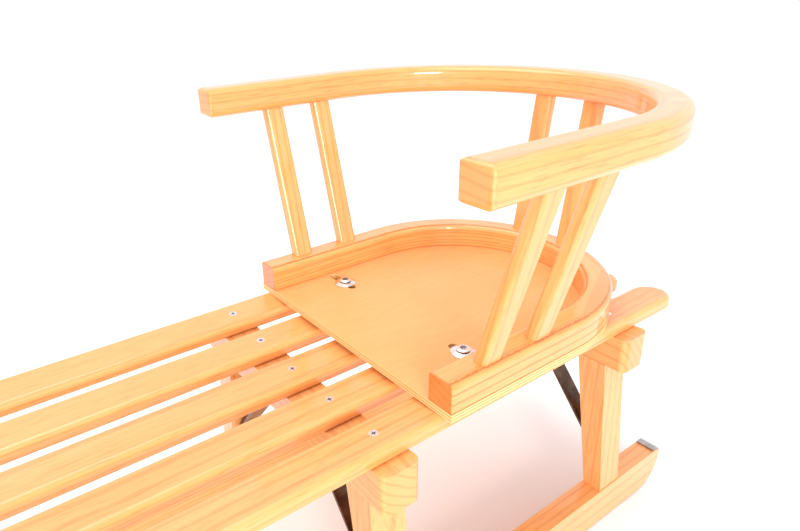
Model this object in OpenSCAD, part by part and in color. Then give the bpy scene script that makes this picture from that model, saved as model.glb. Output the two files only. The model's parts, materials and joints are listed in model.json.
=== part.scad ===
// Slatted wooden sledge with a clamp-on child seat.
// +X is forward, +Y is the rider's left, +Z is up. The origin is on the ground, midway
// between the rear ends of the runners and the front ends of the slats.

/* [Overall] */
// Length from the rear runner tips to the front slat tips
overall_l = 1000; // [900:5:1150]
// Distance between the two leg frames
frame_spacing = 296; // [280:1:380]
// Distance from the rear frame to the rear end of the sledge
rear_overhang = 101; // [85:1:140]
// Height of the legs between runner and crossbar
leg_h = 151; // [125:1:185]

/* [Deck slats] */
// Number of slats
slat_count = 5; // [5:2:5]
// Distance between slat centre lines
slat_pitch = 60; // [56:1:66]
// Width of a slat
slat_w = 40; // [36:1:48]
// Thickness of a slat
slat_t = 13; // [12:0.5:18]
// Radius of the upper slat edges
slat_edge_r = 5; // [3:0.5:6]
// Radius of the lower slat edges
slat_low_r = 2.5; // [1:0.5:3]
// Depth of the hollow across the deck, at the outer slats
dish_depth = 5; // [2:0.5:6]
// How far the slats stop short of the rear end of the sledge
slat_rear_gap = 7; // [2:1:20]

/* [Crossbars] */
// Length of a crossbar
bar_l = 308; // [300:2:360]
// Width of a crossbar
bar_w = 36; // [34:1:42]
// Height of a crossbar at its middle
bar_h = 29; // [27:1:36]
// Radius of the upright corners at the bar ends
bar_corner_r = 8; // [3:1:12]
// Radius of the lower edges of a crossbar
bar_edge_r = 3; // [1:0.5:5]
// Distance from the front slat tips to the nose crosspiece
nose_setback = 52; // [45:1:70]

/* [Legs] */
// Depth of a leg, front to back
leg_d = 33; // [28:1:34]
// Width of a leg under the crossbar
leg_top_w = 31; // [26:1:36]
// Width of a leg at its foot
leg_foot_w = 20; // [18:1:22]
// Centre of a leg under the crossbar, from the middle of the sledge
leg_top_y = 118.5; // [112:0.5:122]
// Depth of a tenon, front to back
tenon_d = 20; // [16:1:22]
// Width of the top tenon
top_tenon_w = 22; // [16:1:24]
// Length of the top tenon
top_tenon_l = 16; // [12:1:17]
// Width of the foot tenon
foot_tenon_w = 10; // [8:1:12]
// Length of the foot tenon
foot_tenon_l = 26; // [15:1:32]
// Length of the tenons at the ends of the nose crosspiece
nose_tenon_l = 13; // [8:1:16]
// Height of the tenons at the ends of the nose crosspiece
nose_tenon_h = 16; // [12:1:20]
// Clearance round every tenon
tenon_gap = 0.1; // [0.05:0.05:0.3]

/* [Runners] */
// Distance of a runner's centre from the middle of the sledge
runner_y = 139; // [134:1:150]
// Width of a runner
runner_w = 22; // [20:1:26]
// Height of a runner
runner_h = 45; // [40:1:50]
// Radius of the curve that lifts the runner's nose, at its centre line
nose_r = 250; // [245:5:300]
// Radius of the lower corner at the rear end
rear_low_r = 34; // [20:1:36]
// Radius of the upper corner at the rear end
rear_top_r = 8; // [4:1:9]
// Radius of the rope hole
rope_hole_r = 5; // [4:0.5:7]
// Drop from the middle of the nose crosspiece to the rope hole
rope_hole_drop = 46; // [40:1:60]

/* [Runner shoes] */
// Thickness of the steel shoe
shoe_t = 2.5; // [2:0.5:4]
// Width of the steel shoe
shoe_w = 20; // [14:1:20]
// Length of the shoe that lies on top of the rear end
shoe_wrap = 5; // [4:1:20]
// Angle up the nose at which the shoe ends
shoe_angle = 58; // [50:1:60]
// Number of screws in a shoe
shoe_screw_count = 5; // [3:1:6]

/* [Braces] */
// Width of a brace
brace_w = 18; // [14:1:20]
// Thickness of a brace
brace_t = 3; // [2:0.5:4]
// Length of the flat that is screwed down at each end
brace_pad = 26; // [20:1:30]
// Middle of the upper pad, from the middle of the sledge
brace_top_y = 24; // [20:1:50]
// Height of the lower pad above the runner
brace_foot_lift = 30; // [6:1:40]

/* [Screws] */
// Shank radius of a wood screw
screw_r = 2; // [1.5:0.25:2.5]
// Head radius of a wood screw
screw_head_r = 4; // [3:0.25:4.5]
// Height of a countersunk head
screw_head_h = 2.2; // [1.5:0.1:2.4]
// Radius of a round screw head
round_head_r = 4.4; // [3.5:0.1:4.8]
// Height of a round screw head
round_head_h = 2.6; // [2:0.1:3]
// Length of the cross cut in a screw head
recess_l = 4.4; // [3:0.1:5]
// Width of the cross cut
recess_w = 0.9; // [0.6:0.1:1.2]
// Depth of the cross cut
recess_d = 1.3; // [0.8:0.1:1.6]
// Clearance between a screw and its hole
screw_gap = 0.05; // [0.05:0.05:0.2]
// Length of a slat screw
slat_screw_l = 30; // [26:1:31]
// Length of a brace screw under its head
brace_screw_l = 13; // [10:1:14]
// Length of a shoe screw
shoe_screw_l = 18; // [12:1:24]
// Length of a rim screw
rim_screw_l = 18; // [12:1:19]

/* [Child seat] */
// Distance from the front crossbar back to the seat's front edge
seat_setback = 52; // [40:1:70]
// Gap between the slats and the seat board
seat_gap = 0.3; // [0.2:0.1:1]
// Thickness of the plywood board
board_t = 7; // [6:0.5:10]
// Half-width of the seat rim at its centre line
rim_r = 134.5; // [125:0.5:145]
// Width of the rim
rim_w = 27; // [24:1:30]
// Height of the rim
rim_h = 27; // [24:1:32]
// Radius of the lower rim edges
rim_low_r = 1.5; // [1:0.5:2.5]
// Radius of the edges at the front ends of the rim
rim_end_r = 2; // [1:0.5:3]
// Radius of the upper rim edges
rim_edge_r = 6; // [3:0.5:8]
// Distance from the seat's front edge back to the middle of the rim's bend
rim_arm = 157; // [145:1:180]
// Half-width of the arm rail at its centre line
rail_r = 186.5; // [170:0.5:195]
// Width of the arm rail
rail_w = 30; // [27:1:34]
// Height of the arm rail
rail_h = 29; // [26:1:34]
// Radius of the arm rail's edges
rail_edge_r = 8; // [4:0.5:10]
// Radius of the edges at the front ends of the rail
rail_end_r = 5; // [2:0.5:7]
// Distance by which the arm rail reaches ahead of the seat's front edge
rail_reach = 29; // [10:1:45]
// Distance from the rim's bend forward to the rail's bend
rail_shift = 26; // [10:1:30]
// Height of the rail's underside above the top of the rim
rail_lift = 155; // [130:1:180]
// Width of a spindle
spindle_w = 22; // [18:1:24]
// Thickness of a spindle
spindle_t = 12; // [10:0.5:13]
// Radius of a spindle's edges
spindle_edge_r = 4; // [2:0.5:4.5]
// Depth of a spindle in the rim and in the rail
spindle_seat = 14; // [10:1:16]
// Distance from the seat's front edge to the front spindles
spindle_1 = 47; // [40:1:60]
// Distance from the front spindles to the second pair
spindle_step = 60; // [45:1:80]
// Distance of a rear spindle from the middle
back_spindle_y = 31; // [25:1:45]
// Distance from the seat's front edge to the front rim screws
rim_screw_setback = 22; // [15:1:30]
// Angle round the bend from its start to the first rim screw
rim_screw_turn_1 = 20; // [10:5:30]
// Angle round the bend from its start to the second rim screw
rim_screw_turn_2 = 60; // [50:5:65]

/* [Seat clamps] */
// Distance from the seat's front edge to the clamp bolts
bolt_setback = 71; // [60:1:100]
// Radius of a clamp bolt
bolt_r = 4; // [3:0.5:5]
// Width of the slots in the board
slot_w = 9; // [8.5:0.5:11]
// Length of the slots in the board
slot_l = 44; // [30:1:48]
// Distance of a slot's middle from the centre of the seat
slot_y = 95; // [90:1:98]
// Radius of the domed washer
washer_r = 11.5; // [10:0.5:14]
// Height of the domed washer
washer_h = 3; // [2.5:0.5:5]
// Thickness of the washer at its edge
washer_edge_t = 0.7; // [0.5:0.1:1.2]
// Radius of the bolt's round head
bolt_head_r = 6.5; // [5.5:0.5:8]
// Height of the bolt head above the washer
bolt_head_h = 1.8; // [1:0.1:3]
// Bevel round the top of the bolt head
bolt_bevel = 0.8; // [0.5:0.1:1]
// Corner radius of the six-sided socket in the bolt head
socket_r = 3.3; // [2.5:0.1:3.5]
// Depth of the socket
socket_d = 4; // [2:0.5:5]
// How far the bolt reaches below its wing nut
bolt_tail = 5; // [2:1:10]
// Radius of the clamp plate's corners
clamp_corner_r = 5; // [2:1:8]
// Length of the clamp plate across the sledge
clamp_l = 58; // [44:1:60]
// Width of the clamp plate along the sledge
clamp_w = 30; // [20:1:32]
// Thickness of the clamp plate
clamp_t = 4; // [3:0.5:6]
// Gap between the slats and the clamp plate
clamp_gap = 0.3; // [0.2:0.1:1]
// Radial running clearance of the wing nut on its bolt
nut_gap = 0.05; // [0.02:0.01:0.08]
// Hub radius of the wing nut
nut_r = 7; // [6:0.5:8]
// Height of the wing nut's hub
nut_h = 8; // [6:0.5:10]
// Reach of the wings from the bolt
wing_reach = 18; // [14:1:19]
// Radius of the wing tips
wing_r = 6; // [4:0.5:7]
// Thickness of the wings
wing_t = 3; // [2:0.5:4]

/* [Hidden] */
$fn = 96;

// Colours
slat_wood = [0.93, 0.68, 0.42];
frame_wood = [0.91, 0.65, 0.40];
seat_wood = [0.92, 0.64, 0.38];
plywood = [0.93, 0.66, 0.41];
zinc = [0.78, 0.78, 0.78];
bright_steel = [0.90, 0.90, 0.90];

// Stations along the sledge
rear_x = -overall_l / 2;
front_x = overall_l / 2;
rear_frame_x = rear_x + rear_overhang;
front_frame_x = rear_frame_x + frame_spacing;
nose_x = front_x - nose_setback;
slat_rear_x = rear_x + slat_rear_gap;

// Heights
runner_top = shoe_t + runner_h;
bar_bottom = runner_top + leg_h;
bar_top = bar_bottom + bar_h;
runner_mid = shoe_t + runner_h / 2;
nose_mid = bar_bottom + bar_h / 2;

// The hollow deck: slats lie on an arc whose centre is high above the sledge
outer_slat_y = slat_pitch * (slat_count - 1) / 2;
dish_r = (outer_slat_y * outer_slat_y + dish_depth * dish_depth) / (2 * dish_depth);
function slat_y(k) = slat_pitch * (k - (slat_count - 1) / 2);
function slat_tilt(k) = asin(slat_y(k) / dish_r);
function on_arc(tilt, across, up) = [
  (dish_r - up) * sin(tilt) + across * cos(tilt),
  bar_top + dish_r - (dish_r - up) * cos(tilt) + across * sin(tilt)
];

// Seat heights and stations
slat_crest = on_arc(slat_tilt(slat_count - 1), slat_w / 2 - slat_edge_r, slat_t)[1];
board_bottom = slat_crest + seat_gap;
board_top = board_bottom + board_t;
rim_top = board_top + rim_h;
rail_bottom = rim_top + rail_lift;
seat_front = front_frame_x - seat_setback;
rim_bend_x = seat_front - rim_arm;
rail_bend_x = rim_bend_x + rail_shift;
rail_front = seat_front + rail_reach;
bolt_x = seat_front - bolt_setback;
bolt_y = outer_slat_y - slat_pitch / 2;

// The runner's nose: an arc that passes the end of the nose crosspiece and is cut off
// under the slats
nose_sweep = 100;
bend_z = runner_mid + nose_r;
bend_x = nose_x - nose_r * sin(acos((bend_z - nose_mid) / nose_r));
nose_out_r = nose_r + runner_h / 2;
nose_in_r = nose_r - runner_h / 2;

// Legs and braces
leg_foot_y = runner_y;
inner_foot = [leg_foot_y - leg_foot_w / 2, runner_top];
inner_top = [leg_top_y - leg_top_w / 2, bar_bottom];
inner_dir = (inner_top - inner_foot) / norm(inner_top - inner_foot);
inner_out = [-inner_dir[1], inner_dir[0]];
brace_path = [
  inner_foot + inner_dir * brace_foot_lift + inner_out * brace_t / 2,
  inner_foot + inner_dir * (brace_foot_lift + brace_pad) + inner_out * brace_t / 2,
  [brace_top_y + brace_pad / 2, bar_bottom - brace_t / 2],
  [brace_top_y - brace_pad / 2, bar_bottom - brace_t / 2]
];
brace_lean = atan2(inner_foot[0] - inner_top[0], leg_h);
far = 2000;
cut = 0.5;

// ---------- shared shapes ----------

// A rectangle centred across, standing on its lower edge, with rounded corners
module bar_section(w, h, top_r, low_r) {
  difference() {
    translate([-w / 2, 0]) square([w, h]);
    for (side = [0, 1]) mirror([side, 0]) {
      translate([w / 2, h]) rotate(180) corner_waste(top_r);
      translate([w / 2, 0]) rotate(90) corner_waste(low_r);
    }
  }
}

// What a rounded corner takes away: the corner is at the origin, the body up and right
module corner_waste(r) {
  difference() {
    translate([-cut, -cut]) square([r + cut, r + cut]);
    translate([r, r]) circle(r);
    translate([r, r - far]) square([far, far * 2]);
    translate([r - far, r]) square([far * 2, far]);
  }
}

// Extrudes a section along X, with the section's width along Y and its height along Z
module along_x(from, to) {
  translate([from, 0, 0]) rotate([90, 0, 90]) linear_extrude(to - from) children();
}

// Extrudes a side profile drawn in X and Z, centred on Y
module across_y(w) {
  translate([0, w / 2, 0]) rotate([90, 0, 0]) linear_extrude(w) children();
}

module both_sides() {
  for (side = [0, 1]) mirror([0, side, 0]) children();
}

// A countersunk wood screw: the head's flat face is at the origin, the shank points down
module countersunk_screw(l, grow) {
  translate([0, 0, -screw_head_h])
    cylinder(h = screw_head_h, r1 = screw_r + grow, r2 = screw_head_r + grow);
  translate([0, 0, -l - grow]) cylinder(h = l + grow - screw_head_h, r = screw_r + grow);
}

module cross_recess() {
  for (turn = [0, 90]) rotate(turn) translate([-recess_l / 2, -recess_w / 2, -recess_d])
    cube([recess_l, recess_w, recess_d + cut]);
}

// A round-headed screw: the shank points down from the origin
module round_head_screw(l, grow) {
  translate([0, 0, -l - grow]) cylinder(h = l + grow, r = screw_r + grow);
}

module round_head() {
  dome_r = (round_head_r * round_head_r + round_head_h * round_head_h) / (2 * round_head_h);
  intersection() {
    cylinder(h = round_head_h * 2, r = round_head_r * 2);
    translate([0, 0, round_head_h - dome_r]) sphere(dome_r);
  }
}

// ---------- deck ----------

// Moves a piece from the middle of the arc to the place of slat k
module at_slat(k) {
  translate([0, 0, bar_top + dish_r]) rotate([slat_tilt(k), 0, 0])
    translate([0, 0, -dish_r]) children();
}

module slat_section() {
  bar_section(slat_w, slat_t, slat_edge_r, slat_low_r);
}

module slat_tip() {
  rotate(-90) rotate_extrude(angle = 180) intersection() {
    slat_section();
    translate([0, -far / 2]) square(far);
  }
}

module slat_screw_places() {
  for (x = [front_frame_x, rear_frame_x, nose_x]) translate([x, 0, slat_t]) children();
}

module slat(k) {
  tip_r = slat_w / 2;
  color(slat_wood) at_slat(k) difference() {
    union() {
      along_x(slat_rear_x + tip_r, front_x - tip_r) slat_section();
      translate([front_x - tip_r, 0, 0]) slat_tip();
      translate([slat_rear_x + tip_r, 0, 0]) rotate(180) slat_tip();
    }
    slat_screw_places() {
      countersunk_screw(slat_screw_l, screw_gap);
      translate([0, 0, -slat_t - cut]) cylinder(h = slat_t, r = screw_r + screw_gap);
    }
  }
}

module slat_screw_row(x) {
  color(bright_steel) for (k = [0 : slat_count - 1]) at_slat(k)
    translate([x, 0, slat_t]) difference() {
      countersunk_screw(slat_screw_l, 0);
      cross_recess();
    }
}

// ---------- crossbars ----------

// Outline of a bar seen from the front: flat below, a flat seat under each slat above
module hollow_outline(l) {
  tilt = slat_tilt(slat_count - 1);
  end_z = on_arc(tilt, (l / 2 - outer_slat_y) / cos(tilt), 0)[1];
  polygon(concat(
    [[-l / 2, bar_bottom], [-l / 2, end_z]],
    [for (k = [0 : slat_count - 1], side = [-1, 1])
      if (abs(on_arc(slat_tilt(k), side * slat_w / 2, 0)[0]) < l / 2)
        on_arc(slat_tilt(k), side * slat_w / 2, 0)],
    [[l / 2, end_z], [l / 2, bar_bottom]]
  ));
}

module hollow_bar(x, l) {
  intersection() {
    along_x(x - bar_w / 2, x + bar_w / 2) hollow_outline(l);
    translate([x, 0, bar_bottom]) across_y(l + 2)
      bar_section(bar_w, bar_h * 2, bar_edge_r, bar_edge_r);
  }
}

module deck_screw_holes(x) {
  for (k = [0 : slat_count - 1]) at_slat(k)
    translate([x, 0, slat_t]) countersunk_screw(slat_screw_l, screw_gap);
}

module top_tenon(grow) {
  translate([-tenon_d / 2 - grow, leg_top_y - top_tenon_w / 2 - grow, bar_bottom - cut])
    cube([tenon_d + 2 * grow, top_tenon_w + 2 * grow, top_tenon_l + cut + grow]);
}

module crossbar(x) {
  color(frame_wood) difference() {
    intersection() {
      hollow_bar(x, bar_l);
      translate([x, 0, bar_bottom - cut]) linear_extrude(bar_h * 3)
        translate([0, -bar_l / 2]) bar_section(bar_w, bar_l, bar_corner_r, bar_corner_r);
    }
    deck_screw_holes(x);
    both_sides() translate([x, 0, 0]) {
      top_tenon(tenon_gap);
      upper_brace_screw() round_head_screw(brace_screw_l, screw_gap);
    }
  }
}

nose_l = 2 * (runner_y - runner_w / 2);

module nose_tenon(grow) {
  translate([nose_x - tenon_d / 2 - grow, nose_l / 2 - cut, nose_mid - nose_tenon_h / 2 - grow])
    cube([tenon_d + 2 * grow, nose_tenon_l + cut + grow, nose_tenon_h + 2 * grow]);
}

module nose_crosspiece() {
  color(frame_wood) difference() {
    union() {
      hollow_bar(nose_x, nose_l);
      both_sides() nose_tenon(0);
    }
    deck_screw_holes(nose_x);
  }
}

// ---------- legs ----------

module left_leg() {
  difference() {
    union() {
      along_x(-leg_d / 2, leg_d / 2) polygon([
        inner_foot,
        [leg_foot_y + leg_foot_w / 2, runner_top],
        [leg_top_y + leg_top_w / 2, bar_bottom],
        inner_top
      ]);
      top_tenon(0);
      foot_tenon(0);
    }
    lower_brace_screw() round_head_screw(brace_screw_l, screw_gap);
  }
}

module foot_tenon(grow) {
  translate([-tenon_d / 2 - grow, leg_foot_y - foot_tenon_w / 2 - grow,
             runner_top - foot_tenon_l - grow])
    cube([tenon_d + 2 * grow, foot_tenon_w + 2 * grow, foot_tenon_l + cut + grow]);
}

module leg(x, side) {
  color(frame_wood) translate([x, 0, 0]) mirror([0, side, 0]) left_leg();
}

// ---------- runners and shoes ----------

// The bend of the nose, between two radii, from straight down to an angle
module nose_bend(inner, outer, w, angle) {
  translate([bend_x, 0, bend_z]) rotate([90, 0, 0]) rotate(-90)
    rotate_extrude(angle = angle, $fn = 180)
      translate([inner, -w / 2]) square([outer - inner, w]);
}

module rear_outline() {
  difference() {
    translate([rear_x + shoe_t, shoe_t]) square([bend_x - rear_x - shoe_t, runner_h]);
    translate([rear_x + shoe_t, shoe_t]) corner_waste(rear_low_r);
    translate([rear_x + shoe_t, runner_top]) rotate(-90) corner_waste(rear_top_r);
  }
}

// Everything above the underside of the outer slats
module above_slats() {
  at_slat(slat_count - 1) translate([-far / 2, -far / 2, 0]) cube(far);
}

module left_runner_blank() {
  difference() {
    translate([0, runner_y, 0]) {
      across_y(runner_w) rear_outline();
      nose_bend(nose_in_r, nose_out_r, runner_w, nose_sweep);
    }
    above_slats();
    for (x = [front_frame_x, rear_frame_x]) translate([x, 0, 0]) foot_tenon(tenon_gap);
    nose_tenon(tenon_gap);
    rope_hole();
    shoe_screw_places() countersunk_screw(shoe_screw_l, screw_gap);
  }
}

module rope_hole() {
  rope_z = nose_mid - rope_hole_drop;
  rope_x = bend_x + nose_r * sin(acos((bend_z - rope_z) / nose_r));
  translate([rope_x, runner_y, rope_z]) rotate([90, 0, 0])
    cylinder(h = runner_w * 2, r = rope_hole_r, center = true);
}

module runner(side) {
  color(frame_wood) mirror([0, side, 0]) left_runner_blank();
}

shoe_first_x = rear_x + rear_overhang / 2;
shoe_last_x = bend_x - 20;
shoe_screw_step = (shoe_last_x - shoe_first_x) / (shoe_screw_count - 1);

// Places on the sole where a screw goes up into the runner
module shoe_screw_places() {
  for (i = [0 : shoe_screw_count - 1])
    translate([shoe_first_x + i * shoe_screw_step, runner_y, 0]) mirror([0, 0, 1]) children();
}

// A quarter ring: the outer corner of the metal at the origin, the body up and right
module corner_ring(r, t) {
  translate([r + t, r + t]) intersection() {
    difference() {
      circle(r + t);
      circle(r);
    }
    translate([-r - t, -r - t]) square(r + t);
  }
}

module shoe_outline() {
  low_end = rear_low_r + shoe_t;
  top_end = rear_top_r + shoe_t;
  translate([rear_x + low_end, 0]) square([bend_x - rear_x - low_end, shoe_t]);
  translate([rear_x, 0]) corner_ring(rear_low_r, shoe_t);
  translate([rear_x, low_end]) square([shoe_t, runner_top + shoe_t - low_end - top_end]);
  translate([rear_x, runner_top + shoe_t]) mirror([0, 1]) corner_ring(rear_top_r, shoe_t);
  translate([rear_x + top_end, runner_top]) square([shoe_wrap, shoe_t]);
}

module shoe(side) {
  color(zinc) mirror([0, side, 0]) difference() {
    translate([0, runner_y, 0]) {
      across_y(shoe_w) shoe_outline();
      nose_bend(nose_out_r, nose_out_r + shoe_t, shoe_w, shoe_angle);
    }
    shoe_screw_places() countersunk_screw(shoe_screw_l, screw_gap);
  }
}

module shoe_screws() {
  color(zinc) both_sides() shoe_screw_places() difference() {
    countersunk_screw(shoe_screw_l, 0);
    cross_recess();
  }
}

// ---------- braces ----------

function flat(v) = v / norm(v);
function left_of(v) = [-v[1], v[0]];
// Points of a strip of thickness t that follows a path, with mitred bends
function strip(path, t) = let (
    dirs = [for (i = [1 : len(path) - 1]) flat(path[i] - path[i - 1])],
    last = len(path) - 1,
    sides = [for (i = [0 : last]) let (
        a = left_of(dirs[max(i - 1, 0)]),
        b = left_of(dirs[min(i, last - 1)])) (a + b) / (1 + a * b)]
  ) concat(
    [for (i = [0 : last]) path[i] + sides[i] * t / 2],
    [for (i = [last : -1 : 0]) path[i] - sides[i] * t / 2]
  );

// The screw through the middle of the lower pad, into the leg
module lower_brace_screw() {
  place = inner_foot + inner_dir * (brace_foot_lift + brace_pad / 2) + inner_out * brace_t;
  translate([0, place[0], place[1]]) rotate([90 + brace_lean, 0, 0]) children();
}

// The screw through the middle of the upper pad, into the crossbar
module upper_brace_screw() {
  translate([0, brace_top_y, bar_bottom - brace_t]) mirror([0, 0, 1]) children();
}

module brace(x, side) {
  color(zinc) translate([x, 0, 0]) mirror([0, side, 0]) difference() {
    along_x(-brace_w / 2, brace_w / 2) polygon(strip(brace_path, brace_t));
    lower_brace_screw() round_head_screw(brace_screw_l, screw_gap);
    upper_brace_screw() round_head_screw(brace_screw_l, screw_gap);
  }
}

module brace_screw() {
  round_head_screw(brace_screw_l, 0);
  difference() {
    round_head();
    translate([0, 0, round_head_h - cut / 2]) cross_recess();
  }
}

module brace_screws() {
  color(zinc) for (x = [front_frame_x, rear_frame_x]) translate([x, 0, 0]) both_sides() {
    lower_brace_screw() brace_screw();
    upper_brace_screw() brace_screw();
  }
}

// ---------- child seat ----------

// A U in plan: two straight arms from front_end back to the bend, and a half circle
module u_plan(back_x, front_end, r) {
  translate([back_x, 0]) circle(r, $fn = 180);
  translate([back_x, -r]) square([front_end - back_x, 2 * r]);
}

// A bar bent to a U; its ends are rounded like its long edges
module u_bar(back_x, front_end, r, z, w, h, top_r, low_r, end_r) {
  translate([back_x, 0, z]) rotate(90) rotate_extrude(angle = 180, $fn = 180)
    translate([r, 0]) bar_section(w, h, top_r, low_r);
  both_sides() intersection() {
    translate([0, r, z]) along_x(back_x, front_end) bar_section(w, h, top_r, low_r);
    translate([back_x - cut, r, z - cut]) linear_extrude(h + 2 * cut) rotate(-90)
      bar_section(w, front_end - back_x + cut, end_r, cut / 2);
    translate([back_x, r, z + h / 2]) across_y(w + 2) rotate(-90)
      bar_section(h, front_end - back_x, end_r, cut / 2);
  }
}

module clamp_slot() {
  translate([bolt_x, slot_y, board_bottom - cut]) linear_extrude(board_t + 2 * cut) {
    square([slot_w, slot_l - slot_w], center = true);
    for (end = [-1, 1]) translate([0, end * (slot_l - slot_w) / 2]) circle(slot_w / 2);
  }
}

// Places under the board where a screw goes up into the rim
module rim_screw_places() {
  both_sides() {
    translate([seat_front - rim_screw_setback, rim_r, board_bottom])
      mirror([0, 0, 1]) children();
    for (a = [rim_screw_turn_1, rim_screw_turn_2]) translate([rim_bend_x, 0, board_bottom]) rotate(90 + a)
      translate([rim_r, 0, 0]) mirror([0, 0, 1]) children();
  }
}

module seat_board() {
  color(plywood) difference() {
    translate([0, 0, board_bottom]) linear_extrude(board_t)
      u_plan(rim_bend_x, seat_front, rim_r + rim_w / 2);
    both_sides() clamp_slot();
    rim_screw_places() countersunk_screw(rim_screw_l, screw_gap);
  }
}

module seat_rim() {
  color(seat_wood) difference() {
    u_bar(rim_bend_x, seat_front, rim_r, board_top, rim_w, rim_h,
          rim_edge_r, rim_low_r, rim_end_r);
    rim_screw_places() countersunk_screw(rim_screw_l, screw_gap);
    all_spindles(tenon_gap);
  }
}

module arm_rail() {
  color(seat_wood) difference() {
    u_bar(rail_bend_x, rail_front, rail_r, rail_bottom, rail_w, rail_h,
          rail_edge_r, rail_edge_r, rail_end_r);
    all_spindles(tenon_gap);
  }
}

module rim_screws() {
  color(zinc) rim_screw_places() difference() {
    countersunk_screw(rim_screw_l, 0);
    cross_recess();
  }
}

// ---------- spindles ----------

spindle_z = rim_top - spindle_seat;
spindle_rise = rail_lift + 2 * spindle_seat;
arm_lean = atan((rail_r - rim_r) / (rail_lift + rim_h / 2 + rail_h / 2));

// A straight spindle from the rim at foot, leaning away by an angle towards +X
module spindle(foot, heading, lean, grow) {
  translate([foot[0], foot[1], spindle_z]) rotate(heading) rotate([0, lean, 0])
    translate([0, 0, -grow]) linear_extrude(spindle_rise / cos(lean) + 2 * grow)
      translate([0, -spindle_w / 2 - grow])
        bar_section(spindle_t + 2 * grow, spindle_w + 2 * grow, spindle_edge_r, spindle_edge_r);
}

function foot_offset(lean) = (rim_h / 2 - spindle_seat) * tan(lean);

module arm_spindle(x, grow) {
  spindle([x, rim_r - foot_offset(arm_lean)], 90, arm_lean, grow);
}

back_foot_x = rim_bend_x - sqrt(rim_r * rim_r - back_spindle_y * back_spindle_y);
back_top_x = rail_bend_x - sqrt(rail_r * rail_r - back_spindle_y * back_spindle_y);
back_lean = atan((back_foot_x - back_top_x) / (rail_lift + rim_h / 2 + rail_h / 2));

module back_spindle(grow) {
  spindle([back_foot_x + foot_offset(back_lean), back_spindle_y], 180, back_lean, grow);
}

front_spindle_x = seat_front - spindle_1;
middle_spindle_x = front_spindle_x - spindle_step;

module all_spindles(grow) {
  both_sides() {
    arm_spindle(front_spindle_x, grow);
    arm_spindle(middle_spindle_x, grow);
    back_spindle(grow);
  }
}

// ---------- seat clamps ----------

slat_low_y = bolt_y - clamp_l / 2;
inner_clamped = slat_count - 2;
clamp_top = on_arc(slat_tilt(inner_clamped), slat_low_y - slat_y(inner_clamped), 0)[1] - clamp_gap;
clamp_bottom = clamp_top - clamp_t;
nut_top = clamp_bottom - clamp_gap;
bolt_end = nut_top - nut_h - bolt_tail;
washer_top = board_top + washer_h;
washer_rise = washer_h - washer_edge_t;
washer_dome_r = (washer_r * washer_r + washer_rise * washer_rise) / (2 * washer_rise);

module at_bolt(side) {
  mirror([0, side, 0]) translate([bolt_x, bolt_y, 0]) children();
}

module clamp_bolt(side) {
  head_top = washer_top + bolt_head_h;
  color(bright_steel) at_bolt(side) difference() {
    union() {
      translate([0, 0, bolt_end]) cylinder(h = washer_top + cut - bolt_end, r = bolt_r);
      translate([0, 0, washer_top]) cylinder(h = bolt_head_h - bolt_bevel, r = bolt_head_r);
      translate([0, 0, head_top - bolt_bevel])
        cylinder(h = bolt_bevel, r1 = bolt_head_r, r2 = bolt_head_r - 2 * bolt_bevel);
    }
    translate([0, 0, head_top - socket_d]) cylinder(h = socket_d + cut, r = socket_r, $fn = 6);
  }
}

module dome_washer(side) {
  color(bright_steel) at_bolt(side) translate([0, 0, board_top]) difference() {
    intersection() {
      cylinder(h = washer_h, r = washer_r);
      translate([0, 0, washer_h - washer_dome_r]) sphere(washer_dome_r);
    }
    translate([0, 0, -cut]) cylinder(h = washer_h + 2 * cut, r = bolt_r + screw_gap);
  }
}

module clamp_plate(side) {
  color(zinc) at_bolt(side) difference() {
    translate([0, 0, clamp_bottom]) linear_extrude(clamp_t) translate([0, -clamp_l / 2])
      bar_section(clamp_w, clamp_l, clamp_corner_r, clamp_corner_r);
    translate([0, 0, clamp_bottom - cut]) cylinder(h = clamp_t + 2 * cut, r = bolt_r + screw_gap);
  }
}

module wing_outline() {
  translate([wing_reach - wing_r, -nut_h]) circle(wing_r);
  translate([0, -nut_h]) square([wing_reach - wing_r, wing_r]);
}

module wing_nut(side) {
  color(bright_steel) at_bolt(side) translate([0, 0, nut_top]) difference() {
    union() {
      translate([0, 0, -nut_h]) cylinder(h = nut_h, r = nut_r);
      for (turn = [0, 180]) rotate(turn) across_y(wing_t) wing_outline();
    }
    translate([0, 0, -nut_h * 2]) cylinder(h = nut_h * 3, r = bolt_r + nut_gap);
  }
}

// ---------- nodes ----------

slat(0);  // slat_1
slat(1);  // slat_2
slat(2);  // slat_3
slat(3);  // slat_4
slat(4);  // slat_5
crossbar(front_frame_x);  // front_crossbar
crossbar(rear_frame_x);  // rear_crossbar
nose_crosspiece();
leg(front_frame_x, 0);  // front_left_leg
leg(front_frame_x, 1);  // front_right_leg
leg(rear_frame_x, 0);  // rear_left_leg
leg(rear_frame_x, 1);  // rear_right_leg
runner(0);  // left_runner
runner(1);  // right_runner
shoe(0);  // left_shoe
shoe(1);  // right_shoe
brace(front_frame_x, 0);  // front_left_brace
brace(front_frame_x, 1);  // front_right_brace
brace(rear_frame_x, 0);  // rear_left_brace
brace(rear_frame_x, 1);  // rear_right_brace
slat_screw_row(front_frame_x);  // front_slat_screws
slat_screw_row(rear_frame_x);  // rear_slat_screws
slat_screw_row(nose_x);  // nose_slat_screws
brace_screws();
shoe_screws();
seat_board();
seat_rim();
arm_rail();
color(seat_wood) arm_spindle(front_spindle_x, 0);  // front_left_spindle
color(seat_wood) mirror([0, 1, 0]) arm_spindle(front_spindle_x, 0);  // front_right_spindle
color(seat_wood) arm_spindle(middle_spindle_x, 0);  // middle_left_spindle
color(seat_wood) mirror([0, 1, 0]) arm_spindle(middle_spindle_x, 0);  // middle_right_spindle
color(seat_wood) back_spindle(0);  // back_left_spindle
color(seat_wood) mirror([0, 1, 0]) back_spindle(0);  // back_right_spindle
rim_screws();
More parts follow.
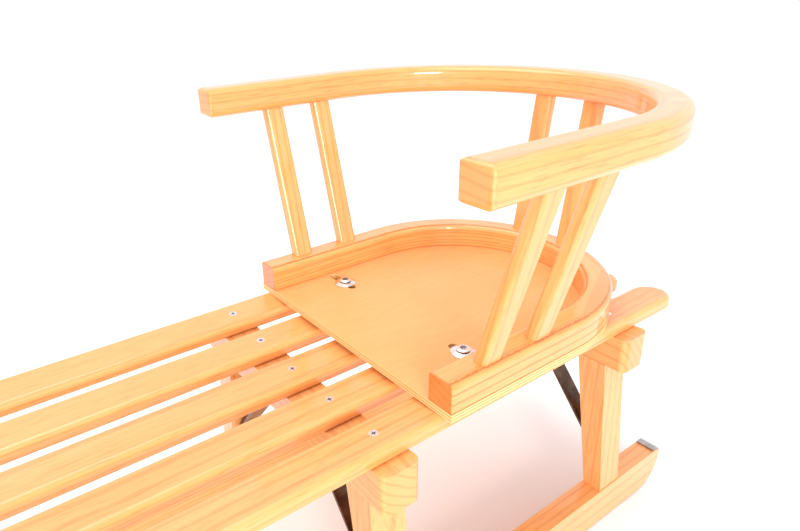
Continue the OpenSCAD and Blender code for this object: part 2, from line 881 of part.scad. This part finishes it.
clamp_bolt(0);  // left_clamp_bolt
clamp_bolt(1);  // right_clamp_bolt
dome_washer(0);  // left_dome_washer
dome_washer(1);  // right_dome_washer
clamp_plate(0);  // left_clamp_plate
clamp_plate(1);  // right_clamp_plate
wing_nut(0);  // left_wing_nut
wing_nut(1);  // right_wing_nut
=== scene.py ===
# %% [markdown]
# # A slatted sledge with a child seat
# The sizes and places of every part are already fixed by the CAD model, which is loaded first.
# Blender's work is to give that frame its looks: eased edges, wood whose grain follows each
# piece, lacquer, plywood and steel. The CAD box is kept.

import json
import math

import bpy
import numpy as np
from mathutils import Euler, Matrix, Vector

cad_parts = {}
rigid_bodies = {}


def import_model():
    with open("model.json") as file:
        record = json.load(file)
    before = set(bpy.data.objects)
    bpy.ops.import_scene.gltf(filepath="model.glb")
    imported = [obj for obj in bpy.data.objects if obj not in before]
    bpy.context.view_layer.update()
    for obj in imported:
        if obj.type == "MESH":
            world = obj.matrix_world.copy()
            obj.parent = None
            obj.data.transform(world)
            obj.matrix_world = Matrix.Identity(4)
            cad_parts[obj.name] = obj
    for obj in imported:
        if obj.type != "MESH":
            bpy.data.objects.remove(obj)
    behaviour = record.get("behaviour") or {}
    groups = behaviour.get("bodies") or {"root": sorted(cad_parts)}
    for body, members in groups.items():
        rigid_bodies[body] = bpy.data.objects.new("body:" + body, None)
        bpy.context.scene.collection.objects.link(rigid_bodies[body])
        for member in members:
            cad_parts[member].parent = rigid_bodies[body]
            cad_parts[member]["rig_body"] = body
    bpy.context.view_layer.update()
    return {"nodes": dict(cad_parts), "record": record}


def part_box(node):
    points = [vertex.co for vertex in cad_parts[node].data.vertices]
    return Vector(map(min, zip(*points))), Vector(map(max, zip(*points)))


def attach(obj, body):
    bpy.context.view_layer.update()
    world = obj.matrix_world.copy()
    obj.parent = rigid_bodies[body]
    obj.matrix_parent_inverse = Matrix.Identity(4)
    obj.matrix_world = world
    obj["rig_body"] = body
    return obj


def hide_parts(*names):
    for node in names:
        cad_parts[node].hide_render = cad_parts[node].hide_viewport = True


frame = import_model()
nodes = frame["nodes"]
mounts = {mount["name"]: Vector(mount["pos_m"]) for mount in frame["record"]["mounts"]}

# %% [markdown]
# ## Working copies
# A CAD mesh is a bag of loose triangles, and its edges are perfectly sharp. On a real sledge no
# edge is sharp: sandpaper and lacquer round them, and that round is what catches the light.
# So each wooden part gets a copy. Its doubled points are merged, its flat triangles dissolved
# into whole faces, and its edges bevelled. Operators act on everything that is selected, so the
# first helper always clears the selection.


# %% Helpers for copies
def pick(piece):
    """Makes one object the only selected and active one."""
    bpy.ops.object.select_all(action="DESELECT")
    piece.select_set(True)
    bpy.context.view_layer.objects.active = piece


def copy_of(node_name, piece_name):
    """A merged copy of a CAD node that stands for it and rides with its body."""
    node = nodes[node_name]
    pick(node)
    bpy.ops.object.duplicate()
    piece = bpy.context.object
    piece.name = piece_name
    piece.data.name = piece_name
    for key in list(piece.keys()):
        del piece[key]
    piece.data.materials.clear()
    bpy.ops.object.mode_set(mode="EDIT")
    bpy.ops.mesh.select_all(action="SELECT")
    bpy.ops.mesh.customdata_custom_splitnormals_clear()
    bpy.ops.mesh.remove_doubles(threshold=1e-6)
    bpy.ops.mesh.dissolve_limited(angle_limit=math.radians(0.3))
    bpy.ops.object.mode_set(mode="OBJECT")
    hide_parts(node_name)
    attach(piece, node["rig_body"])
    return piece


def ease_edges(piece, width, steps=3):
    """Rounds the sharp edges as sandpaper does."""
    pick(piece)
    bevel = piece.modifiers.new("ease", "BEVEL")
    bevel.width = width
    bevel.segments = steps
    bevel.limit_method = "ANGLE"
    bevel.angle_limit = math.radians(35)
    bevel.miter_outer = "MITER_ARC"
    bpy.ops.object.modifier_apply(modifier=bevel.name)


def smooth(piece, degrees=40):
    """Shades round faces as one surface, and keeps large flat faces flat."""
    pick(piece)
    bpy.ops.object.shade_smooth_by_angle(angle=math.radians(degrees))
    weighted = piece.modifiers.new("flat faces", "WEIGHTED_NORMAL")
    weighted.keep_sharp = True
    weighted.weight = 100
    bpy.ops.object.modifier_apply(modifier=weighted.name)


print("helpers ready")

# %% [markdown]
# ## Grain that follows the piece
# Wood is not painted on: its fibres run along each bar, and in a steam-bent bar they follow the
# bend. A pattern on plain object coordinates would run straight through a bent rail. So every
# wooden piece carries its own map, an attribute called grain, that holds for each point how far
# it is along the fibres, across them, and up. A second one, end_grain, is 1 on the sawn ends.
# The slats come from different boards, so each piece is also given its own place in the tree.


# %% Reading a piece's points
def points_of(piece):
    """The piece's points as rows of x, y and z, in metres."""
    places = np.zeros(len(piece.data.vertices) * 3, np.float32)
    piece.data.vertices.foreach_get("co", places)
    return places.reshape(-1, 3).astype(float)


def piece_box(piece):
    """The lowest and the highest corner of a piece."""
    places = points_of(piece)
    return Vector(places.min(0)), Vector(places.max(0))


print("point readers ready")


# %% Writing the grain
SAWN_ANGLE_COSINE = 0.8


def write_grain(piece, grain, fibres, board):
    """Stores the grain map, shifted by a different amount for each board."""
    shift = np.array([0.37 * board, 0.013 * (board % 7), 0.017 * (board % 5)])
    store = piece.data.attributes.new("grain", "FLOAT_VECTOR", "POINT")
    store.data.foreach_set("vector", (grain + shift).astype(np.float32).ravel())
    sawn = piece.data.attributes.new("end_grain", "FLOAT", "FACE")
    facing = []
    for face in piece.data.polygons:
        facing.append(abs(face.normal.dot(Vector(fibres(face.center)))) > SAWN_ANGLE_COSINE)
    sawn.data.foreach_set("value", np.array(facing, np.float32))
    print(f"{piece.name}: {len(piece.data.polygons)} faces, {sum(facing)} sawn")


# %% Straight grain and bent grain
def straight_grain(piece, along, board):
    """Fibres run one way through the whole piece, and across is level."""
    along = Vector(along).normalized()
    across = Vector((0, 0, 1)).cross(along)
    if across.length < 0.5:
        across = Vector((0, 1, 0)).cross(along)
    across.normalize()
    up = along.cross(across)
    axes = np.array([along, across, up])
    write_grain(piece, points_of(piece) @ axes.T, lambda centre: along, board)


def u_bend_grain(piece, bar_w, board):
    """Fibres run round a U in plan: forward along one arm, round the back, and out again."""
    low, high = piece_box(piece)
    r = high.y - bar_w / 2
    bend_x = low.x + high.y
    x, y, z = points_of(piece).T
    back = x < bend_x
    side = np.sign(y)
    angle = np.arctan2(y, bend_x - x)
    along = np.where(back, r * angle, side * (r * math.pi / 2 + x - bend_x))
    across = np.where(back, np.hypot(y, x - bend_x), np.abs(y)) - r

    def fibres(centre):
        if centre.x > bend_x:
            return (1, 0, 0)
        return Vector((-centre.y, centre.x - bend_x, 0)).normalized()

    write_grain(piece, np.stack([along, across, z], 1), fibres, board)


print("grain helpers ready")

# %% [markdown]
# ## Lacquered wood
# Pale beech shows three things close up: broad bands where the saw met the year rings, fine
# darker dashes, and slow changes of tone. Image textures would be quick but would be stretched
# on the bends, so the wood is built from noise on the grain map, squeezed along the fibres.
# Sawn ends drink more lacquer and look darker and redder. Lacquer is a clear coat. The seat's
# rim also shows thin dark lines along the bar, so its wood gets seams at even heights.


# %% Material helpers
def new_material(name):
    material = bpy.data.materials.new(name)
    material.use_nodes = True
    material.node_tree.nodes.clear()
    return material, material.node_tree.nodes, material.node_tree.links


def shader_with(material, name_values):
    """The surface shader and its output, with constants set on the shader's own sockets."""
    tree = material.node_tree
    shader = tree.nodes.new("ShaderNodeBsdfPrincipled")
    output = tree.nodes.new("ShaderNodeOutputMaterial")
    tree.links.new(shader.outputs["BSDF"], output.inputs["Surface"])
    for name, value in name_values.items():
        shader.inputs[name].default_value = value
    return shader


def noise_of(tree, coordinates, stretch, scale, detail=3.0):
    """Noise on coordinates that are first stretched by different amounts on each axis."""
    mapping = tree.nodes.new("ShaderNodeMapping")
    mapping.inputs["Scale"].default_value = stretch
    noise = tree.nodes.new("ShaderNodeTexNoise")
    noise.inputs["Scale"].default_value = scale
    noise.inputs["Detail"].default_value = detail
    tree.links.new(coordinates, mapping.inputs["Vector"])
    tree.links.new(mapping.outputs["Vector"], noise.inputs["Vector"])
    return noise.outputs["Fac"]


def ramp_of(tree, factor, stops):
    """A colour ramp from a list of (place, colour)."""
    ramp = tree.nodes.new("ShaderNodeValToRGB")
    elements = ramp.color_ramp.elements
    while len(elements) < len(stops):
        elements.new(0.5)
    for element, (place, colour) in zip(elements, stops):
        element.position = place
        element.color = (*colour, 1)
    tree.links.new(factor, ramp.inputs["Fac"])
    return ramp.outputs["Color"]


def mixed(tree, blend, factor, first, second):
    """A colour mix; factor is a number or a socket, and so are the two colours."""
    mix = tree.nodes.new("ShaderNodeMix")
    mix.data_type = "RGBA"
    mix.blend_type = blend
    for name, value in (("Factor", factor), ("A", first), ("B", second)):
        socket = mix.inputs[name]
        if isinstance(value, bpy.types.NodeSocket):
            tree.links.new(value, socket)
        elif isinstance(value, tuple):
            socket.default_value = (*value, 1)
        else:
            socket.default_value = value
    return mix.outputs["Result"]


def roughened(tree, shader, factor, strength, height):
    """A bump from a noise, in metres."""
    bump = tree.nodes.new("ShaderNodeBump")
    bump.inputs["Strength"].default_value = strength
    bump.inputs["Distance"].default_value = height
    tree.links.new(factor, bump.inputs["Height"])
    tree.links.new(bump.outputs["Normal"], shader.inputs["Normal"])


WHITE = (1, 1, 1)
print("material helpers ready")

# %% The rim's seams
LAMINATION = 0.009
WAVE_REPEAT = 0.314


def seam_tint(tree, coordinates):
    """Thin dark lines at even heights; at scale 1 a wave repeats every WAVE_REPEAT metres."""
    layers = tree.nodes.new("ShaderNodeTexWave")
    layers.bands_direction = "Z"
    layers.inputs["Scale"].default_value = WAVE_REPEAT / LAMINATION
    layers.inputs["Distortion"].default_value = 0.5
    layers.inputs["Detail Scale"].default_value = 12
    tree.links.new(coordinates, layers.inputs["Vector"])
    return ramp_of(tree, layers.outputs["Fac"], [(0.0, (0.50, 0.27, 0.12)), (0.035, WHITE)])


print("seams every", LAMINATION, "m")

# %% The year rings
PITH = (0.0, 0.055, 0.08)


def year_rings(tree, coordinates):
    """Rings round the middle of the tree, which lies at PITH, beside the bars."""
    from_pith = tree.nodes.new("ShaderNodeMapping")
    from_pith.inputs["Location"].default_value = PITH
    from_pith.inputs["Scale"].default_value = (0.12, 1, 1)
    tree.links.new(coordinates, from_pith.inputs["Vector"])
    rings = tree.nodes.new("ShaderNodeTexWave")
    rings.wave_type = "RINGS"
    rings.rings_direction = "X"
    rings.inputs["Scale"].default_value = 42
    rings.inputs["Distortion"].default_value = 3.5
    rings.inputs["Detail"].default_value = 2
    rings.inputs["Detail Scale"].default_value = 0.4
    tree.links.new(from_pith.outputs["Vector"], rings.inputs["Vector"])
    return rings.outputs["Fac"]


print("pith at", PITH)


# %% The wood material
def lacquered_wood(name, pale, warm, dark, end, seams):
    """Beech under clear lacquer, on the grain and end_grain attributes."""
    material, made, links = new_material(name)
    tree = material.node_tree
    grain = made.new("ShaderNodeAttribute")
    grain.attribute_name = "grain"
    ends = made.new("ShaderNodeAttribute")
    ends.attribute_name = "end_grain"
    coordinates = grain.outputs["Vector"]

    rings = year_rings(tree, coordinates)
    tone = noise_of(tree, coordinates, (0.25, 1.5, 1.5), 14)
    fleck = noise_of(tree, coordinates, (1, 18, 18), 42, 2.0)
    fibre = noise_of(tree, coordinates, (0.3, 20, 20), 60)

    body = ramp_of(tree, tone, [(0.35, warm), (0.65, pale)])
    ring_tint = ramp_of(tree, rings, [(0.0, dark), (0.3, WHITE)])
    body = mixed(tree, "MULTIPLY", 0.35, body, ring_tint)
    sawn = mixed(tree, "MULTIPLY", 0.8, body, end)
    fleck_tint = ramp_of(tree, fleck, [(0.34, dark), (0.44, WHITE)])
    body = mixed(tree, "MULTIPLY", 0.35, body, fleck_tint)
    fibre_tint = ramp_of(tree, fibre, [(0.3, (0.90, 0.82, 0.72)), (0.6, WHITE)])
    body = mixed(tree, "MULTIPLY", 0.6, body, fibre_tint)
    if seams:
        body = mixed(tree, "MULTIPLY", seams, body, seam_tint(tree, coordinates))
    body = mixed(tree, "MIX", ends.outputs["Fac"], body, sawn)

    shader = shader_with(material, {
        "Roughness": 0.35, "Specular IOR Level": 0.4, "Coat Weight": 0.8, "Coat Roughness": 0.08,
    })
    links.new(body, shader.inputs["Base Color"])
    roughened(tree, shader, fibre, 0.12, 0.0002)
    return material


# %% The woods: pale, warm and dark tones, the tint of sawn ends, and how strong the seams are
slat_wood = lacquered_wood(
    "slat beech", (0.80, 0.375, 0.13), (0.78, 0.325, 0.09), (0.80, 0.50, 0.28), (0.95, 0.70, 0.50), 0.0)
frame_wood = lacquered_wood(
    "frame beech", (0.80, 0.385, 0.14), (0.78, 0.34, 0.10), (0.74, 0.42, 0.22), (0.95, 0.80, 0.60), 0.0)
seat_wood = lacquered_wood(
    "bent beech", (0.80, 0.375, 0.13), (0.78, 0.325, 0.09), (0.76, 0.44, 0.22), (0.95, 0.74, 0.56), 0.0)
rim_wood = lacquered_wood(
    "rim beech", (0.80, 0.37, 0.12), (0.78, 0.32, 0.085), (0.76, 0.44, 0.22), (0.84, 0.45, 0.28), 0.7)
print("woods:", slat_wood.name, frame_wood.name, seat_wood.name, rim_wood.name)

# %% [markdown]
# ## Plywood
# The seat board is three thin plies. On its faces it is one calm sheet of veneer, and on its
# edge the plies show as pale bands with a dark glue line between them. The bands need no
# second piece: on the upright faces the colour depends on the height through the board.
# SKIN keeps the top and bottom faces, in parts of one ply, away from a glue line.

# %% The plywood material
board_low, board_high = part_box("seat_board")
PLY_COUNT = 3
SKIN = 0.25


def level_faces(tree):
    """1 on the two large faces of the sheet, and 0 on its edges."""
    place = tree.nodes.new("ShaderNodeTexCoord")
    split = tree.nodes.new("ShaderNodeSeparateXYZ")
    upright = tree.nodes.new("ShaderNodeMath")
    upright.operation = "ABSOLUTE"
    tree.links.new(place.outputs["Normal"], split.inputs["Vector"])
    tree.links.new(split.outputs["Z"], upright.inputs[0])
    return upright.outputs["Value"]


def plywood_sheet():
    """One calm veneer on the large faces, and plies with glue lines on the edges."""
    material, made, links = new_material("birch plywood")
    tree = material.node_tree
    place = made.new("ShaderNodeTexCoord").outputs["Object"]
    split = made.new("ShaderNodeSeparateXYZ")
    links.new(place, split.inputs["Vector"])
    height = made.new("ShaderNodeMapRange")
    height.inputs["From Min"].default_value = board_low.z
    height.inputs["From Max"].default_value = board_high.z
    height.inputs["To Min"].default_value = SKIN
    height.inputs["To Max"].default_value = PLY_COUNT - SKIN
    links.new(split.outputs["Z"], height.inputs["Value"])
    ply = made.new("ShaderNodeMath")
    ply.operation = "PINGPONG"
    ply.inputs[1].default_value = 0.5
    links.new(height.outputs["Result"], ply.inputs[0])
    glue = ramp_of(tree, ply.outputs["Value"], [(0.08, (0.50, 0.26, 0.12)), (0.16, WHITE)])

    veneer = noise_of(tree, place, (1.4, 12, 1), 26)
    calm = noise_of(tree, place, (1, 2, 1), 7)
    veneer_body = ramp_of(tree, calm, [(0.3, (0.82, 0.345, 0.12)), (0.7, (0.84, 0.375, 0.14))])
    streaks = ramp_of(tree, veneer, [(0.3, (0.92, 0.84, 0.76)), (0.65, WHITE)])
    veneer_body = mixed(tree, "MULTIPLY", 0.45, veneer_body, streaks)
    ply_ends = mixed(tree, "MULTIPLY", 1.0, (0.88, 0.52, 0.22), glue)
    body = mixed(tree, "MIX", level_faces(tree), ply_ends, veneer_body)
    shader = shader_with(material, {
        "Roughness": 0.45, "Specular IOR Level": 0.3, "Coat Weight": 0.2, "Coat Roughness": 0.2,
    })
    links.new(body, shader.inputs["Base Color"])
    roughened(tree, shader, veneer, 0.1, 0.0002)
    return material


plywood = plywood_sheet()
print("plywood:", PLY_COUNT, "plies in", round(board_high.z - board_low.z, 4), "m")

# %% [markdown]
# ## Steel
# The shoes and the hidden screws are zinc-plated: a grey metal with a cloudy, slightly
# scratched skin. The bolt heads, washers and slat screws are brighter. The braces are a dark
# brown metal, a painted shade and reflection standing in for the shadow and the orange wood
# they mirror. All three are one recipe with other numbers, on object coordinates. Narrow
# hollows such as screw recesses get painted shade: an occlusion node that reaches only
# RECESS_REACH metres darkens them to black.


# %% The steel materials
RECESS_REACH = 0.0015


def plated_steel(name, bright, dull, roughness):
    """A cloudy, finely scratched metal with painted shade in its hollows."""
    material, made, links = new_material(name)
    tree = material.node_tree
    place = made.new("ShaderNodeTexCoord").outputs["Object"]
    cloud = noise_of(tree, place, (1, 1, 1), 90, 4.0)
    scratch = noise_of(tree, place, (1, 30, 30), 40, 2.0)
    body = ramp_of(tree, cloud, [(0.35, dull), (0.65, bright)])
    shader = shader_with(material, {"Metallic": 1.0})
    rough = made.new("ShaderNodeMapRange")
    rough.inputs["From Min"].default_value = 0.3
    rough.inputs["From Max"].default_value = 0.7
    rough.inputs["To Min"].default_value = roughness * 0.8
    rough.inputs["To Max"].default_value = roughness * 1.3
    links.new(scratch, rough.inputs["Value"])
    links.new(rough.outputs["Result"], shader.inputs["Roughness"])
    roughened(tree, shader, scratch, 0.1, 0.0001)
    # Painted shade: narrow hollows such as screw recesses are darkened towards black by occlusion.
    recess = made.new("ShaderNodeAmbientOcclusion")
    recess.inputs["Distance"].default_value = RECESS_REACH
    shade = ramp_of(tree, recess.outputs["AO"], [(0.35, (0.05, 0.045, 0.04)), (0.75, WHITE)])
    links.new(mixed(tree, "MULTIPLY", 1.0, body, shade), shader.inputs["Base Color"])
    return material


zinc_steel = plated_steel("zinc-plated steel", (0.52, 0.51, 0.50), (0.36, 0.35, 0.34), 0.36)
bright_steel = plated_steel("bright steel", (0.86, 0.86, 0.85), (0.72, 0.72, 0.71), 0.22)
# Painted shade and reflection: the braces' dark brown stands in for the shadow and orange wood they
# mirror.
brace_steel_painted_shade = plated_steel("brace steel with painted shade", (0.16, 0.11, 0.08), (0.08, 0.05, 0.035), 0.22)
print("steels:", zinc_steel.name, bright_steel.name, brace_steel_painted_shade.name)

# %% [markdown]
# ## The deck
# Five slats with rounded edges and half-round tips, each screwed to three crossbars. The CAD
# shape is right already, so a copy only needs merged points, smooth shading and its grain.


# %% Wooden piece
def wooden(node_name, material, edge=0.0):
    """A copy of a wooden CAD node with eased edges and its finish."""
    piece = copy_of(node_name, node_name + "_wood")
    if edge:
        ease_edges(piece, edge)
    smooth(piece)
    piece.data.materials.append(material)
    return piece


print("pieces are made by: copy, ease, smooth, finish")

# %% Slats
for number in range(1, 6):
    slat = wooden(f"slat_{number}", slat_wood)
    straight_grain(slat, (1, 0, 0), number)

# %% [markdown]
# ## Crossbars and legs
# The crossbars run across under the deck, and a tapered leg stands under each of their ends.
# The grain of a bar runs along it, so it is turned for the bars and upright for the legs.

# %% Crossbars and legs
for place, bar in enumerate(("front_crossbar", "rear_crossbar", "nose_crosspiece")):
    straight_grain(wooden(bar, frame_wood, 0.0012), (0, 1, 0), 11 + place)

for end in ("front", "rear"):
    for place, side in enumerate(("left", "right")):
        leg = wooden(f"{end}_{side}_leg", frame_wood, 0.0015)
        straight_grain(leg, (0, 0, 1), 21 + place + 2 * (end == "rear"))

# %% [markdown]
# ## Runners
# Each runner is one bar that is steam-bent upwards at the nose. Its fibres run straight from
# the rear and then round the bend, whose centre follows from the rope hole's place.

# %% Runners
NOSE_R = 0.25
RUNNER_H = 0.045
SHOE_T = 0.0025


def nose_grain(piece, board):
    """Fibres run straight along the runner, and then up round the nose."""
    rope = mounts["left_rope_hole"]
    centre_z = SHOE_T + RUNNER_H / 2 + NOSE_R
    bend_x = rope.x - math.sqrt(NOSE_R ** 2 - (centre_z - rope.z) ** 2)
    x, y, z = points_of(piece).T
    bent = x > bend_x
    angle = np.arctan2(x - bend_x, centre_z - z)
    along = np.where(bent, bend_x + NOSE_R * angle, x)
    up = np.where(bent, centre_z - np.hypot(x - bend_x, centre_z - z), z)

    def fibres(centre):
        if centre.x < bend_x:
            return (1, 0, 0)
        return Vector((centre_z - centre.z, 0, centre.x - bend_x)).normalized()

    write_grain(piece, np.stack([along, y, up], 1), fibres, board)


for place, side in enumerate(("left", "right")):
    nose_grain(wooden(f"{side}_runner", frame_wood, 0.0015), 31 + place)

# %% [markdown]
# ## The child seat
# A plywood board with a bent rim on it, and an arm rail bent the same way, held up by six
# spindles. The rim and the rail are bent from one bar each, so their grain goes round.

# %% Seat
board = copy_of("seat_board", "seat_board_ply")
ease_edges(board, 0.0005, 2)
smooth(board, 30)
board.data.materials.append(plywood)

RIM_W = 0.027
RAIL_W = 0.030
u_bend_grain(wooden("seat_rim", rim_wood), RIM_W, 41)
u_bend_grain(wooden("arm_rail", seat_wood), RAIL_W, 42)


# %% Spindles
def spindle_direction(piece):
    """From the middle of the lowest points to the middle of the highest ones."""
    places = points_of(piece)
    order = places[:, 2].argsort()
    count = len(order) // 4
    return places[order[-count:]].mean(0) - places[order[:count]].mean(0)


for row, end in enumerate(("front", "middle", "back")):
    for place, side in enumerate(("left", "right")):
        spindle = wooden(f"{end}_{side}_spindle", seat_wood)
        straight_grain(spindle, spindle_direction(spindle), 51 + 2 * row + place)

# %% [markdown]
# ## Steel parts
# The steel parts keep their CAD shapes and get their plating.

# %% Steel parts
steel_of = {
    "shoe": zinc_steel, "brace": brace_steel_painted_shade, "brace_screws": zinc_steel, "shoe_screws": zinc_steel,
    "rim_screws": zinc_steel, "slat_screws": bright_steel, "clamp_bolt": bright_steel,
    "dome_washer": bright_steel, "clamp_plate": zinc_steel, "wing_nut": bright_steel,
}
for name, node in nodes.items():
    for ending, steel in steel_of.items():
        if name.endswith(ending):
            node.data.materials.clear()
            node.data.materials.append(steel)
print("steel nodes:", sum(n.endswith(tuple(steel_of)) for n in nodes))

# %% [markdown]
# ## Floor, light and camera
# A plain pale floor under a plain pale sky, one large soft lamp overhead, and a smaller,
# brighter one at the side, so that the lacquer has something to mirror. The Standard view
# transform shows a colour as it is set. The default one greys bright warm colours, and the wood
# would need unnaturally strong tones to make up for it.

# %% Floor
bpy.ops.object.select_all(action="DESELECT")
bpy.ops.mesh.primitive_plane_add(size=30, location=(0, 0, 0))
floor = bpy.context.object
floor.name = "floor"
floor_paint = new_material("pale floor")[0]
shader_with(floor_paint, {"Base Color": (0.95, 0.93, 0.93, 1), "Roughness": 0.6})
floor.data.materials.append(floor_paint)
print("floor:", floor.name)

# %% Light
bpy.context.scene.view_settings.view_transform = "Standard"
world = bpy.data.worlds.new("studio")
bpy.context.scene.world = world
world.use_nodes = True
world.node_tree.nodes["Background"].inputs["Color"].default_value = (1.0, 0.965, 0.98, 1)
world.node_tree.nodes["Background"].inputs["Strength"].default_value = 1.15


def soft_lamp(name, place, aim, size, power, colour):
    """A square area lamp at place that looks at aim."""
    bpy.ops.object.light_add(type="AREA", location=place)
    lamp = bpy.context.object
    lamp.name = name
    lamp.data.size = size
    lamp.data.energy = power
    lamp.data.color = colour
    lamp.rotation_euler = (Vector(aim) - Vector(place)).to_track_quat("-Z", "Y").to_euler()
    print("lamp:", name, power, "W")


soft_lamp("overhead", (0.3, -0.5, 2.4), (0, 0, 0.2), 1.8, 32, (1, 0.96, 0.93))
soft_lamp("side", (1.0, 2.4, 1.0), (-0.1, 0, 0.25), 0.9, 70, (1, 0.95, 0.92))

# %% Camera
CAMERA_PLACE = (0.1274, 0.4231, 0.5571)
CAMERA_TURNS = (67.25, 1.74, 144.37)

bpy.ops.object.camera_add(location=CAMERA_PLACE)
camera = bpy.context.object
camera.rotation_mode = "XYZ"
camera.rotation_euler = Euler([math.radians(turn) for turn in CAMERA_TURNS])
camera.data.lens = 28.26
camera.data.sensor_width = 36
camera.data.shift_x = 0.0655
camera.data.shift_y = -0.0225
camera.data.clip_start = 0.01
bpy.context.scene.camera = camera
print("camera at", CAMERA_PLACE)
